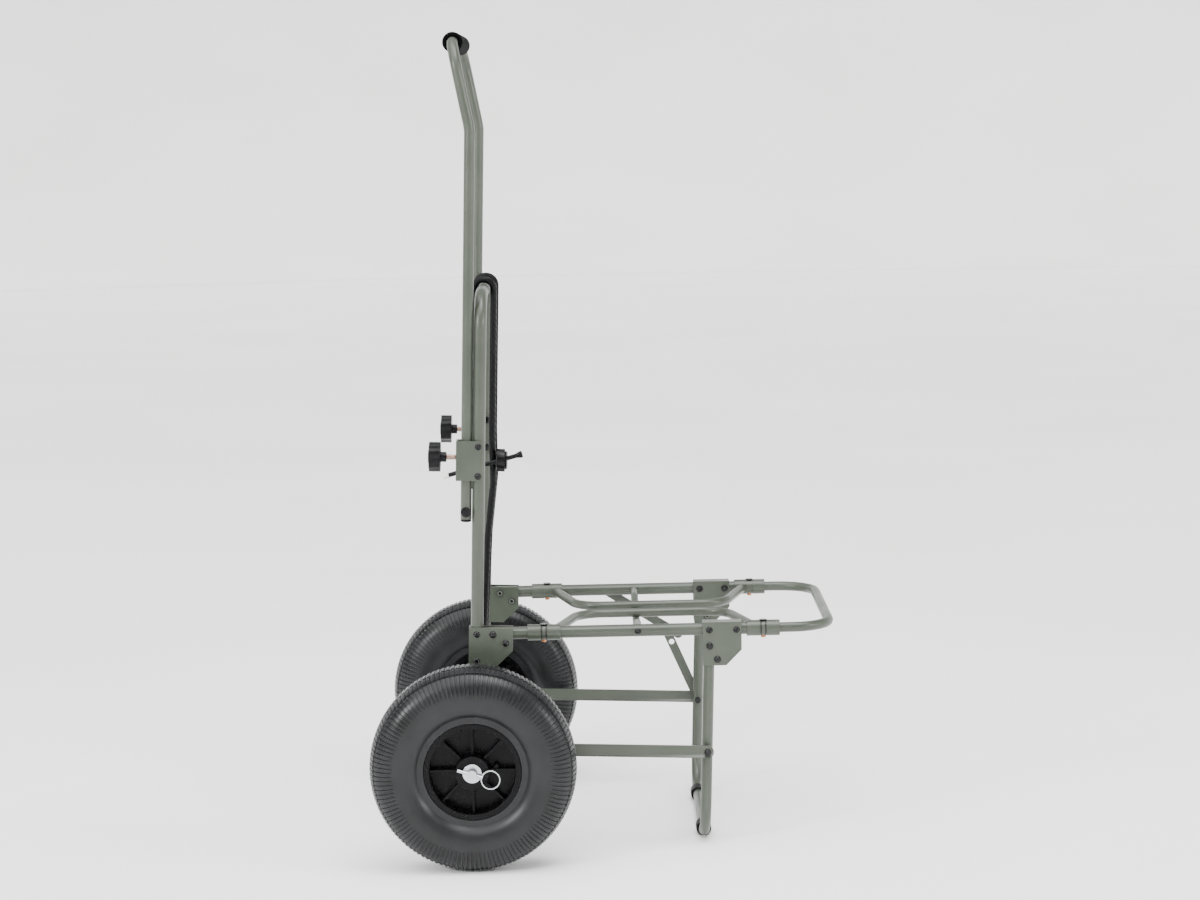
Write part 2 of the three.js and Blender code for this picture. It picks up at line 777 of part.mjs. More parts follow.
// Side bars: thin tubes bowed inwards, carried by sleeves that turn on the rail
function sideBar(side) {
  const root = side * (tubeSpread - sleeveRadius - sideBarRootInset);
  const inner = side * sideBarInset;
  const at = (reach, y) => vector(pivotX + reach, y, railHeight);
  const route = new TubeRoute(
    [at(sideBarRearRoot, root), at(sideBarRearReach, inner), at(sideBarFrontReach, inner), at(sideBarFrontRoot, root)],
    [sideBarBend, sideBarBend],
    5,
  );
  return bentTube(route, sideBarRadius, sideBarRadius - loopWall, 10);
}

function sleeve(x) {
  const bore = circumscribed(railRadius + clearance, 12);
  const half = sleeveLength / 2;
  const tube = straightTubeX(sleeveRadius, bore, x - half, x + half, 0, railHeight);
  const reach = sleeveRadius + cutOverrun;
  return cut(tube, rodZ(sleevePinRadius + clearance, railHeight - reach, railHeight + reach, x, 0));
}

// Sleeve pin: a plunger through the sleeve wall under a flat cap
function sleevePin() {
  const profile = [
    [0, railRadius + 2 * clearance], [sleevePinRadius, railRadius + 2 * clearance],
    [sleevePinRadius, sleeveRadius + clearance], [sleevePinCapRadius, sleeveRadius + clearance],
    [sleevePinCapRadius, sleeveRadius + clearance + sleevePinCapHeight],
    [0, sleeveRadius + clearance + sleevePinCapHeight],
  ];
  const turned = new THREE.LatheGeometry(profile.map(([r, y]) => new THREE.Vector2(r, y)), 12);
  return turned.rotateX(Math.PI / 2);
}

sides.forEach(([name, side]) => {
  place(trolley, `side_bar_${name}`, sideBar(side), powderCoat());
  [['rear', rearSleeveReach], ['front', frontSleeveReach]].forEach(([end, reach]) => {
    const tube = place(trolley, `side_sleeve_${end}_${name}`, sleeve(pivotX + reach), powderCoat());
    tube.position.y = side * tubeSpread;
    const pin = place(trolley, `sleeve_pin_${end}_${name}`, sleevePin(), blackSteel());
    pin.position.set(pivotX + reach, side * tubeSpread, railHeight);
  });
});

// Front loop: a U whose legs slide inside the rails
function frontLoop() {
  const back = railFrontEnd - loopInsertion;
  const route = new TubeRoute(
    [
      vector(back, -tubeSpread, railHeight), vector(loopFront, -tubeSpread, railHeight),
      vector(loopFront, tubeSpread, railHeight), vector(back, tubeSpread, railHeight),
    ],
    [loopCornerRadius, loopCornerRadius],
  );
  return bentTube(route, loopRadius, loopRadius - loopWall);
}
place(trolley, 'front_loop', frontLoop(), powderCoat());

// Front leg: a U hung from the rails, with two rubber feet on its bottom bar
function legFrame() {
  const route = new TubeRoute(
    [
      vector(0, -tubeSpread, legTopMargin), vector(0, -tubeSpread, -legLength),
      vector(0, tubeSpread, -legLength), vector(0, tubeSpread, legTopMargin),
    ],
    [legCornerRadius, legCornerRadius],
  );
  const tube = bentTube(route, legRadius, legRadius - legWall);
  const hole = (z) => {
    const reach = tubeSpread + legRadius + cutOverrun;
    const inner = tubeSpread - legRadius - cutOverrun;
    const radius = pivotBoltRadius + clearance;
    return [rodY(radius, -reach, -inner, 0, z), rodY(radius, inner, reach, 0, z)];
  };
  return cut(tube, ...hole(0), ...hole(-strutDrop));
}

function legFoot() {
  const bore = circumscribed(legRadius + clearance, 16);
  const ring = ringY(footRadius, bore, -footLength / 2, footLength / 2, 16);
  const reach = footRadius + cutOverrun;
  const floor = block(-reach, reach, -reach, reach, -reach, -footFlatDrop).rotateY(-lean);
  return cut(ring, floor);
}

// Strut bolt: through the leg, a spacer, the brace link on the far side, and the strut
function strutBolt(side, spacerEnd) {
  const inner = legRadius + clearance;
  const headStart = strutOuter + clearance;
  const geometry = boltProfile([
    [boltHeadRadius, -inner - boltHeadHeight, -inner],
    [pivotBoltRadius, -inner, inner],
    [boltHeadRadius, inner, spacerEnd],
    [pivotBoltRadius, spacerEnd, headStart],
    ...buttonHead(headStart, headStart + boltHeadHeight),
  ]);
  return mirroredForSide(geometry, side);
}

place(legGroup, 'leg_frame', legFrame(), powderCoat());
sides.forEach(([name, side]) => {
  const foot = place(legGroup, `leg_foot_${name}`, legFoot(), tyreRubber());
  foot.position.set(0, side * footSpread, -legLength);
  const spacerEnd = side > 0 ? lowerLinkInner - clearance : lowerLinkOuter;
  const bolt = place(legGroup, `strut_bolt_${name}`, strutBolt(side, spacerEnd), blackSteel());
  bolt.position.set(0, side * tubeSpread, -strutDrop);
});

// Flat bars with round ends
function capsule(x0, z0, x1, z1, width) {
  const angle = Math.atan2(z1 - z0, x1 - x0);
  const half = width / 2;
  const shape = new THREE.Shape();
  shape.absarc(x1, z1, half, angle - Math.PI / 2, angle + Math.PI / 2, false);
  shape.absarc(x0, z0, half, angle + Math.PI / 2, angle + 1.5 * Math.PI, false);
  shape.closePath();
  return shape;
}

// Strut: a flat bar beside the rail, cranked up to its stud behind the wheel
function strut(side) {
  const y0 = side * (tubeSpread + strutInner);
  const y1 = side * (tubeSpread + strutOuter);
  const slope = (rearBoltZ - frontBoltZ) / (rearBoltX - frontBoltX);
  const crankX = rearBoltX + strutCrankReach;
  const crankZ = frontBoltZ + slope * (crankX - frontBoltX) - strutCrankDrop;
  const reach = strutThickness + cutOverrun;
  const hole = (x, z) => rodY(pivotBoltRadius + clearance, y0 - side * reach, y1 + side * reach, x, z);
  return cut(
    joined(
      plateXZ(capsule(crankX, crankZ, frontBoltX, frontBoltZ, strutWidth), y0, y1),
      plateXZ(capsule(rearBoltX, rearBoltZ, crankX, crankZ, strutWidth), y0, y1),
    ),
    hole(rearBoltX, rearBoltZ),
    hole(frontBoltX, frontBoltZ),
  );
}
sides.forEach(([name, side]) => place(trolley, `strut_${name}`, strut(side), powderCoat()));

// Knee of the brace: where the two links meet at rest
function kneePlace() {
  const dx = frontBoltX - bracePivotX;
  const dz = frontBoltZ - railHeight;
  const span = Math.hypot(dx, dz);
  const along = (upperLinkLength ** 2 - lowerLinkLength ** 2 + span ** 2) / (2 * span);
  const aside = Math.sqrt(upperLinkLength ** 2 - along ** 2);
  return {
    x: bracePivotX + (along * dx - aside * dz) / span,
    z: railHeight + (along * dz + aside * dx) / span,
  };
}
const knee = kneePlace();

// Brace links, on the outside of the far rail only
function braceUpperLink() {
  const share = (upperLinkLength + upperLinkOverrun) / upperLinkLength;
  const endX = bracePivotX + (knee.x - bracePivotX) * share;
  const endZ = railHeight + (knee.z - railHeight) * share;
  const bar = plateXZ(
    capsule(bracePivotX, railHeight, endX, endZ, linkWidth),
    tubeSpread + upperLinkInner,
    tubeSpread + upperLinkOuter,
  );
  const boss = rodY(boltHeadRadius, tubeSpread + plateInner, tubeSpread + headOuter, bracePivotX, railHeight);
  const rivet = rodY(linkWidth / 3, tubeSpread + plateInner, tubeSpread + upperLinkOuter, knee.x, knee.z);
  return joined(bar, boss, rivet);
}

function braceLowerLink() {
  const bar = plateXZ(
    capsule(frontBoltX, frontBoltZ, knee.x, knee.z, linkWidth),
    tubeSpread + lowerLinkInner,
    tubeSpread + lowerLinkOuter,
  );
  const share = lockHoleDrop / lowerLinkLength;
  const holeX = knee.x + (frontBoltX - knee.x) * share;
  const holeZ = knee.z + (frontBoltZ - knee.z) * share;
  const from = tubeSpread + lowerLinkInner - cutOverrun;
  const to = tubeSpread + lowerLinkOuter + cutOverrun;
  const rivet = rodY(linkWidth / 3, tubeSpread + lowerLinkInner, tubeSpread + strutInner + pinSink, knee.x, knee.z);
  return cut(
    joined(bar, rivet),
    rodY(lockHoleRadius, from, to, holeX, holeZ),
    rodY(pivotBoltRadius + clearance, from, to, frontBoltX, frontBoltZ),
  );
}
place(trolley, 'brace_upper_link', braceUpperLink(), powderCoat());
place(trolley, 'brace_lower_link', braceLowerLink(), powderCoat());

export default trolley;
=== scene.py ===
import math

import bmesh
import bpy
from mathutils import Matrix, Vector


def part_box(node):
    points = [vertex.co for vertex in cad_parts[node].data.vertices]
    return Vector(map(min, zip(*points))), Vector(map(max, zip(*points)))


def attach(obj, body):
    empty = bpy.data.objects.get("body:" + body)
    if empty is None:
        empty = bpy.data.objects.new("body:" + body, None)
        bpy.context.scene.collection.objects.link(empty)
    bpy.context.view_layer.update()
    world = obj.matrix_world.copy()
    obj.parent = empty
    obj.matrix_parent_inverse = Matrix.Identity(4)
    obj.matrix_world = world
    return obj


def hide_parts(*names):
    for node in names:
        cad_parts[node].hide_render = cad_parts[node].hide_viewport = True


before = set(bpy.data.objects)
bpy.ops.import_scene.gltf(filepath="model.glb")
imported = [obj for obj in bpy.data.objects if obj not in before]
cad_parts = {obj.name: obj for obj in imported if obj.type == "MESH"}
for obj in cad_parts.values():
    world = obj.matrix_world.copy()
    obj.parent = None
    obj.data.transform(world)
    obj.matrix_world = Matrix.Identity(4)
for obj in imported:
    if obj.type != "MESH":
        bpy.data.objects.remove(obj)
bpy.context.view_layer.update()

# Backrest: one steel tube bent into an upturned U that stands on the axle tube and leans a little
# forward, with channel plates folded round its feet. Everything steel here is powder coated in a
# satin grey-green, which gives a soft highlight, a slow drift of tone and a very fine orange peel.
MM = 0.001  # Sizes are in millimetres, and Blender's are in metres.
LEAN = math.radians(2.05)
AHEAD = Vector((math.cos(LEAN), 0, -math.sin(LEAN)))
ORIGIN_X = 167.5
AXLE_HEIGHT = 130
TUBE_SPREAD = 155
SIDES = {"near": -1, "far": 1}
PIVOT_AHEAD = 20.5
RAIL_HEIGHT = 283.5
PIVOT_HEIGHT = (RAIL_HEIGHT - AXLE_HEIGHT + PIVOT_AHEAD * math.sin(LEAN)) / math.cos(LEAN)
PIVOT_X = PIVOT_AHEAD * math.cos(LEAN) + PIVOT_HEIGHT * math.sin(LEAN)
DRIFT_LOW = 0.3
DRIFT_HIGH = 0.7
DRIFT_DETAIL = 4.0
GRAIN_DETAIL = 2.0
GRAIN_STRENGTH = 0.5
ROUGHNESS_DRIFT = 0.05
EDGE_ROUND = 0.3
EDGE_STEPS = 2
EDGE_FROM = math.radians(40)
WELD_GAP = 0.005


def linear(colour):
    """A Blender colour from an sRGB hex value."""
    parts = [int(colour[i:i + 2], 16) / 255 for i in (1, 3, 5)]
    return [p / 12.92 if p <= 0.04045 else ((p + 0.055) / 1.055) ** 2.4 for p in parts] + [1.0]


def add_node(tree, kind, settings=None, values=None, links=None):
    """Adds a node, sets it, and links its sockets to the outputs given."""
    node = tree.nodes.new(kind)
    for key, value in (settings or {}).items():
        setattr(node, key, value)
    for socket, value in (values or {}).items():
        node.inputs[socket].default_value = value
    for socket, source in (links or {}).items():
        tree.links.new(source, node.inputs[socket])
    return node


def finish(name, dark, light, patch, grain, relief, roughness, metallic=0.0, shine=0.5):
    """A material whose tone drifts over patches and whose grain stands up by relief, all in mm."""
    material = bpy.data.materials.new(name)
    material.use_nodes = True
    tree = material.node_tree
    shader = tree.nodes["Principled BSDF"]
    shader.inputs["Metallic"].default_value = metallic
    shader.inputs["Specular IOR Level"].default_value = shine
    place = add_node(tree, "ShaderNodeTexCoord").outputs["Object"]
    drift = add_node(
        tree, "ShaderNodeTexNoise",
        values={"Scale": 1 / (patch * MM), "Detail": DRIFT_DETAIL},
        links={"Vector": place},
    )
    tone = add_node(tree, "ShaderNodeValToRGB", links={"Fac": drift.outputs["Fac"]})
    tone.color_ramp.elements[0].position = DRIFT_LOW
    tone.color_ramp.elements[0].color = linear(dark)
    tone.color_ramp.elements[1].position = DRIFT_HIGH
    tone.color_ramp.elements[1].color = linear(light)
    tree.links.new(tone.outputs["Color"], shader.inputs["Base Color"])
    surface = add_node(
        tree, "ShaderNodeTexNoise",
        values={"Scale": 1 / (grain * MM), "Detail": GRAIN_DETAIL},
        links={"Vector": place},
    )
    wear = add_node(
        tree, "ShaderNodeMapRange",
        values={
            "From Min": DRIFT_LOW, "From Max": DRIFT_HIGH,
            "To Min": roughness - ROUGHNESS_DRIFT, "To Max": roughness + ROUGHNESS_DRIFT,
        },
        links={"Value": drift.outputs["Fac"]},
    )
    tree.links.new(wear.outputs["Result"], shader.inputs["Roughness"])
    bump = add_node(
        tree, "ShaderNodeBump",
        values={"Strength": GRAIN_STRENGTH, "Distance": relief * MM},
        links={"Height": surface.outputs["Fac"]},
    )
    tree.links.new(bump.outputs["Normal"], shader.inputs["Normal"])
    return material


def soften(piece, edge):
    """Smooth faces, with each sharp edge rounded by a few tenths of a millimetre."""
    mesh = piece.data
    if "custom_normal" in mesh.attributes:
        mesh.attributes.remove(mesh.attributes["custom_normal"])
    mesh.polygons.foreach_set("use_smooth", [True] * len(mesh.polygons))
    weld = piece.modifiers.new("weld", "WELD")
    weld.merge_threshold = WELD_GAP * MM
    bevel = piece.modifiers.new("edges", "BEVEL")
    bevel.width = edge * MM
    bevel.segments = EDGE_STEPS
    bevel.limit_method = "ANGLE"
    bevel.angle_limit = EDGE_FROM
    bevel.use_clamp_overlap = True
    normals = piece.modifiers.new("normals", "WEIGHTED_NORMAL")
    normals.keep_sharp = True


def clothe(material, *names, edge=EDGE_ROUND):
    """Gives CAD nodes their finish, a smooth skin and a small round on their edges."""
    for name in names:
        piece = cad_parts[name]
        piece.data.materials.clear()
        piece.data.materials.append(material)
        soften(piece, edge)


def at_back(ahead, y, up):
    """A place given along the leaning backrest, as a point in metres."""
    x = ahead * math.cos(LEAN) + up * math.sin(LEAN)
    z = AXLE_HEIGHT - ahead * math.sin(LEAN) + up * math.cos(LEAN)
    return Vector((x - ORIGIN_X, y, z)) * MM


def at_floor(x, y, z):
    """A place measured from the axle and the floor, as a point in metres."""
    return Vector((x - ORIGIN_X, y, z)) * MM


powder_coat = finish(
    "powder_coat_satin", dark="#343A30", light="#3F453B",
    patch=60, grain=1.6, relief=0.01, roughness=0.35,
)
clothe(powder_coat, "backrest_frame", "axle_tube")
for side in SIDES:
    clothe(powder_coat, f"rear_bracket_{side}", f"strut_lug_{side}")

# Bracket screws and pivot bolts: blackened steel, with domed heads outside and ring nuts inside, and
# a locking ring in the inner end of each pivot bolt's nut. The blackening leaves a smooth, nearly
# black skin with a small sharp highlight on every head.
PLATE_FACE = 10.1
SCREW_HEAD = 4.2
SCREW_RISE = 2.4
SCREW_SKIRT = 0.6
SCREW_SHOULDER = 0.86
SCREW_SHOULDER_RISE = 0.66
SCREW_CROWN = 0.6
SCREW_CROWN_RISE = 0.93
SCREW_SOCKET = 1.6
SOCKET_FLOOR = 0.4
SCREW_STEP = 34.4
NUT_RADIUS = 4.6
NUT_RISE = 2.2
NUT_CHAMFER = 0.85
NUT_CHAMFER_RISE = 0.8
NUT_MOUTH = 0.55
NUT_BORE = 0.5
NUT_SCREW_RISE = 0.6
RING_INNER = 1.9
RING_OUTER = 3.6
RING_RISE = 0.35
RING_SINK = 0.2
BOLT_END = 13.3
TURNED_SIDES = 24
TURNED_EDGE = 0.15


def into_piece(name, work, place, material):
    """A smooth-faced object made from finished mesh work and moved to its place."""
    bmesh.ops.recalc_face_normals(work, faces=work.faces)
    mesh = bpy.data.meshes.new(name)
    work.to_mesh(mesh)
    work.free()
    mesh.transform(place)
    mesh.materials.append(material)
    mesh.polygons.foreach_set("use_smooth", [True] * len(mesh.polygons))
    piece = bpy.data.objects.new(name, mesh)
    bpy.context.scene.collection.objects.link(piece)
    return piece


def turned(name, profile, start, direction, material, body, sides=TURNED_SIDES):
    """A piece turned from (radius, height) points in mm about an axis from start."""
    work = bmesh.new()
    rings = []
    for radius, height in profile:
        if radius == 0:
            rings.append([work.verts.new((0, 0, height * MM))])
            continue
        turns = [2 * math.pi * i / sides for i in range(sides)]
        rings.append([
            work.verts.new((radius * MM * math.cos(t), radius * MM * math.sin(t), height * MM))
            for t in turns
        ])
    for low, high in zip(rings, rings[1:]):
        for i in range(sides):
            corners = [low[i % len(low)], low[(i + 1) % len(low)]]
            corners += [high[(i + 1) % len(high)], high[i % len(high)]]
            unique = list(dict.fromkeys(corners))
            if len(unique) > 2:
                work.faces.new(unique)
    turn = Vector((0, 0, 1)).rotation_difference(Vector(direction)).to_matrix().to_4x4()
    piece = into_piece(name, work, Matrix.Translation(start) @ turn, material)
    soften(piece, TURNED_EDGE)
    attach(piece, body)
    return piece


def screw_head(name, place, way, body):
    """A low domed head with a round socket, flat side on place."""
    dome = [
        (0, 0), (SCREW_HEAD, 0), (SCREW_HEAD, SCREW_SKIRT),
        (SCREW_HEAD * SCREW_SHOULDER, SCREW_RISE * SCREW_SHOULDER_RISE),
        (SCREW_HEAD * SCREW_CROWN, SCREW_RISE * SCREW_CROWN_RISE),
        (SCREW_SOCKET, SCREW_RISE), (SCREW_SOCKET, SCREW_RISE * SOCKET_FLOOR),
        (0, SCREW_RISE * SOCKET_FLOOR),
    ]
    turned(name, dome, place, (0, way, 0), black_steel, body)


def ring_nut(name, place, way, body):
    """A round nut with the dark end of its screw inside."""
    nut = [
        (0, 0), (NUT_RADIUS, 0), (NUT_RADIUS, NUT_RISE * NUT_CHAMFER_RISE),
        (NUT_RADIUS * NUT_CHAMFER, NUT_RISE), (NUT_RADIUS * NUT_MOUTH, NUT_RISE),
        (NUT_RADIUS * NUT_BORE, NUT_RISE * NUT_SCREW_RISE), (0, NUT_RISE * NUT_SCREW_RISE),
    ]
    turned(name, nut, place, (0, way, 0), black_steel, body)


def plate_screw(group, side, index, at_y, body):
    """A screw through a channel plate, with its head outside and its nut inside."""
    way = SIDES[side]
    outer = way * (TUBE_SPREAD + PLATE_FACE)
    inner = way * (TUBE_SPREAD - PLATE_FACE)
    screw_head(f"{group}_screw_{side}_{index}", at_y(outer), way, body)
    ring_nut(f"{group}_nut_{side}_{index}", at_y(inner), -way, body)


def dress_bolt(bolt, side, body):
    """A pivot bolt, blackened, with the locking ring in the inner end of its nut."""
    clothe(black_steel, bolt, edge=0.6)
    way = SIDES[side]
    low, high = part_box(bolt)
    middle = (low + high) / 2
    inner_end = Vector((middle.x, way * (TUBE_SPREAD - BOLT_END) * MM, middle.z))
    ring = [
        (RING_INNER, -RING_SINK), (RING_OUTER, -RING_SINK), (RING_OUTER, RING_RISE),
        (RING_INNER, RING_RISE), (RING_INNER, -RING_SINK),
    ]
    turned(f"{bolt}_ring", ring, inner_end, (0, -way, 0), dull_steel, body)


black_steel = finish(
    "blackened_steel", dark="#040405", light="#0B0C0D",
    patch=12, grain=0.8, relief=0.01, roughness=0.14, shine=0.3,
)
# The locking rings are bare steel gone dull, a flat grey with hardly a highlight.
dull_steel = finish(
    "dull_locking_ring", dark="#4A4F48", light="#5E635B",
    patch=6, grain=0.5, relief=0.02, roughness=0.5, metallic=0.5,
)
for side in SIDES:
    dress_bolt(f"platform_pivot_bolt_{side}", side, "frame")
    dress_bolt(f"platform_stop_bolt_{side}", side, "frame")
    for index, up in enumerate((PIVOT_HEIGHT, PIVOT_HEIGHT - SCREW_STEP)):
        plate_screw("rear", side, index, lambda y: at_back(0, y, up), "frame")

# Axle ends: a bright zinc-plated shaft with a washer and a ring pin through each end. Zinc plate is
# a pale, slightly blue metal with a clear but not mirror-like shine.
zinc_plate = finish(
    "zinc_plate_bright", dark="#B4B8BC", light="#CDD0D2",
    patch=14, grain=0.6, relief=0.012, roughness=0.26, metallic=1.0,
)
clothe(zinc_plate, "axle_shaft")
for side in SIDES:
    clothe(zinc_plate, f"axle_washer_{side}", edge=0.4)
    clothe(zinc_plate, f"ring_pin_{side}", edge=0.1)

# Wheels: a black nylon rim moulded with thin ribs, a deep hub and a short valve stem, carrying a wide
# tyre with a smooth flank and a crown of fine radial lugs. Nylon is nearly black with a low sheen, and
# the rubber is a charcoal black with a soft shine that picks out the edges of its lugs.
WHEEL_Y = 240
TYRE_RADIUS = 130
TYRE_HALF_WIDTH = 40
SEAT_RADIUS = 61.5
SEAT_HALF_WIDTH = 30
SECTION_POWER = 2.5
SECTION_STEPS = 44
LUG_COUNT = 127
RAISED_SHARES = (0.0, 0.54)
SUNK_SHARES = (0.62, 0.92)
LUG_DEPTH = 1.2
LUG_FROM_SHARE = 0.78
GROOVE_PLACES = (11, 27)
GROOVE_HALF = 1.2
GROOVE_LIP = 1.3
GROOVE_DEPTH = 2.2
TYRE_SHARP_FROM = math.radians(35)
VALVE_X = 29.6
VALVE_RISE = 3.6
VALVE_RADIUS = 4
VALVE_SHOULDER = 6
VALVE_NECK_FROM = 7
VALVE_NECK = 0.75
VALVE_FROM = 5.5
VALVE_TO = 17

# The grain of moulded nylon and of rubber is a few hundredths of a millimetre. It is drawn at 0.9 mm,
# because a finer one does not show.
nylon = finish(
    "moulded_nylon_black", dark="#030304", light="#070708",
    patch=25, grain=0.9, relief=0.02, roughness=0.28, shine=0.12,
)
tyre_rubber = finish(
    "tyre_rubber_charcoal", dark="#090A0B", light="#16171A",
    patch=30, grain=0.9, relief=0.06, roughness=0.36, shine=0.34,
)


def section_point(angle):
    """Radius and half width of the tyre's section, a rounded box, at an angle round it."""
    middle = (TYRE_RADIUS + SEAT_RADIUS) / 2
    rise = (TYRE_RADIUS - SEAT_RADIUS) / 2
    sine, cosine = math.sin(angle), math.cos(angle)
    radius = middle + rise * math.copysign(abs(sine) ** (2 / SECTION_POWER), sine)
    return radius, TYRE_HALF_WIDTH * math.copysign(abs(cosine) ** (2 / SECTION_POWER), cosine)


def section_angles():
    """Angles along the section from one bead to the other, with a pair at each groove's edges."""
    bead = math.acos((SEAT_HALF_WIDTH / TYRE_HALF_WIDTH) ** (SECTION_POWER / 2))
    span = math.pi + 2 * bead
    angles = [(-bead + span * i / SECTION_STEPS, False) for i in range(SECTION_STEPS + 1)]
    for place in GROOVE_PLACES:
        for edge, sunk in ((-GROOVE_LIP, False), (-1.0, True), (1.0, True), (GROOVE_LIP, False)):
            reach = (place + edge * GROOVE_HALF) / TYRE_HALF_WIDTH
            angle = math.acos(reach ** (SECTION_POWER / 2))
            angles += [(angle, sunk), (math.pi - angle, sunk)]
    return sorted(angles)


def lugged_tyre(name, centre_y):
    """The tyre as a ring of sections, sunk between its lugs and along its grooves."""
    work = bmesh.new()
    angles = section_angles()
    sections = []
    middle = (TYRE_RADIUS + SEAT_RADIUS) / 2
    for lug in range(LUG_COUNT):
        for share in RAISED_SHARES + SUNK_SHARES:
            turn = 2 * math.pi * (lug + share) / LUG_COUNT
            seat = Vector((SEAT_RADIUS * math.cos(turn), SEAT_HALF_WIDTH, SEAT_RADIUS * math.sin(turn)))
            ring = [work.verts.new(seat * MM)]
            for angle, sunk in angles:
                radius, width = section_point(angle)
                depth = GROOVE_DEPTH if sunk else 0
                if share in SUNK_SHARES and radius > LUG_FROM_SHARE * TYRE_RADIUS:
                    depth = max(depth, LUG_DEPTH)
                reach = math.hypot(radius - middle, width)
                keep = 1 - depth / reach
                radius = middle + (radius - middle) * keep
                width *= keep
                where = (radius * math.cos(turn), width, radius * math.sin(turn))
                ring.append(work.verts.new(Vector(where) * MM))
            seat.y = -SEAT_HALF_WIDTH
            ring.append(work.verts.new(seat * MM))
            sections.append(ring)
    for first, second in zip(sections, sections[1:] + sections[:1]):
        pairs = list(zip(first, second))
        for (a, b), (c, d) in zip(pairs, pairs[1:] + pairs[:1]):
            work.faces.new((a, b, d, c))
    place = Matrix.Translation(at_floor(0, centre_y, AXLE_HEIGHT))
    piece = into_piece(name, work, place, tyre_rubber)
    piece.data.set_sharp_from_angle(angle=TYRE_SHARP_FROM)
    return piece


for side, way in SIDES.items():
    clothe(nylon, f"wheel_rim_{side}", edge=0.5)
    valve = [
        (0, 0), (VALVE_RADIUS, 0), (VALVE_RADIUS, VALVE_SHOULDER),
        (VALVE_RADIUS * VALVE_NECK, VALVE_NECK_FROM),
        (VALVE_RADIUS * VALVE_NECK, VALVE_TO - VALVE_FROM), (0, VALVE_TO - VALVE_FROM),
    ]
    foot = at_floor(VALVE_X, way * (WHEEL_Y + VALVE_FROM), AXLE_HEIGHT + VALVE_RISE)
    turned(f"valve_stem_{side}", valve, foot, (0, way, 0), nylon, f"wheel_{side}")
    tyre = lugged_tyre(f"lugged_tyre_{side}", way * WHEEL_Y)
    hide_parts(f"tyre_{side}")
    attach(tyre, f"wheel_{side}")

# Platform: two straight steel rails with a thin cross tube bolted between them, and a channel plate
# hung near the front of each rail for the leg. The same grey-green coat runs over all of it.
LEG_PIVOT_X = PIVOT_X + 276
CROSS_X = PIVOT_X + 185
RAIL_RADIUS = 8
SCREW_SINK = 0.2

clothe(powder_coat, "cross_tube")
for side, way in SIDES.items():
    clothe(powder_coat, f"rail_{side}", f"front_bracket_{side}")
    dress_bolt(f"leg_pivot_bolt_{side}", side, "platform")
    dress_bolt(f"leg_stop_bolt_{side}", side, "platform")
    for index, x in enumerate((LEG_PIVOT_X, LEG_PIVOT_X + SCREW_STEP)):
        plate_screw("front", side, index, lambda y: at_floor(x, y, RAIL_HEIGHT), "platform")
    rail_side = at_floor(CROSS_X, way * (TUBE_SPREAD + RAIL_RADIUS - SCREW_SINK), RAIL_HEIGHT)
    screw_head(f"cross_tube_screw_{side}", rail_side, way, "platform")

# Side bars: thin bowed tubes on sleeves that turn on the rails. Each sleeve has a thicker band at
# both ends and is held by a push pin with a smooth black cap. Two thin dark half rings run round its
# outside from the cap to the pin's lower end. They are painted shade for the shaded edges of the
# sleeve's middle gap. The pin's lower end is copper-plated steel, a warm brownish metal with a soft
# shine.
SLEEVE_RADIUS = 9.75
SLEEVE_HALF = 21
SLEEVE_PLACES = {"rear": PIVOT_X + 65, "front": PIVOT_X + 345}
COLLAR_RADIUS = 10.15
COLLAR_LENGTH = 17
COLLAR_ROUND = 0.3
SHADE_RING_RADIUS = 10.5
SHADE_RING_TUBE_RADIUS = 0.5
SHADE_RING_SPREAD = 2.9
SHADE_RING_STEPS = 24
SHADE_RING_SIDES = 8
PIN_END_RADIUS = 3
PIN_END_LENGTH = 3.6
PIN_END_INSIDE = 1
PIN_CHAMFER = 0.7
PIN_CHAMFER_RISE = 0.8
WIDE_SIDES = 32


def skin(work, rings):
    """Faces along a row of equal rings, closed at both ends."""
    for first, second in zip(rings, rings[1:]):
        for i in range(len(first)):
            j = (i + 1) % len(first)
            work.faces.new((first[i], first[j], second[j], second[i]))
    work.faces.new(rings[0])
    work.faces.new(rings[-1])


def slot_shade_ring(name, x, way, body):
    """A dark half ring of painted shade for a shaded edge of the sleeve's middle gap, from the pin's
    cap round the outside to its end.
    """
    work = bmesh.new()
    rings = []
    for step in range(SHADE_RING_STEPS + 1):
        turn = math.pi / 2 + math.pi * step / SHADE_RING_STEPS
        ring = []
        for i in range(SHADE_RING_SIDES):
            bend = 2 * math.pi * i / SHADE_RING_SIDES
            reach = SHADE_RING_RADIUS + SHADE_RING_TUBE_RADIUS * math.cos(bend)
            across = way * -reach * math.cos(turn)
            where = Vector((SHADE_RING_TUBE_RADIUS * math.sin(bend), across, reach * math.sin(turn)))
            ring.append(work.verts.new(where * MM))
        rings.append(ring)
    skin(work, rings)
    place = Matrix.Translation(at_floor(x, way * TUBE_SPREAD, RAIL_HEIGHT))
    piece = into_piece(name, work, place, black_steel)
    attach(piece, body)


def sleeve_collar(name, x, way, body):
    """A slightly thicker band round one end of a sleeve, with rounded rims."""
    inner = SLEEVE_RADIUS - COLLAR_ROUND
    band = [
        (inner, 0), (COLLAR_RADIUS - COLLAR_ROUND, 0), (COLLAR_RADIUS, COLLAR_ROUND),
        (COLLAR_RADIUS, COLLAR_LENGTH - COLLAR_ROUND),
        (COLLAR_RADIUS - COLLAR_ROUND, COLLAR_LENGTH), (inner, COLLAR_LENGTH), (inner, 0),
    ]
    start = at_floor(x, way * TUBE_SPREAD, RAIL_HEIGHT)
    turned(name, band, start, (1, 0, 0), powder_coat, body, sides=WIDE_SIDES)


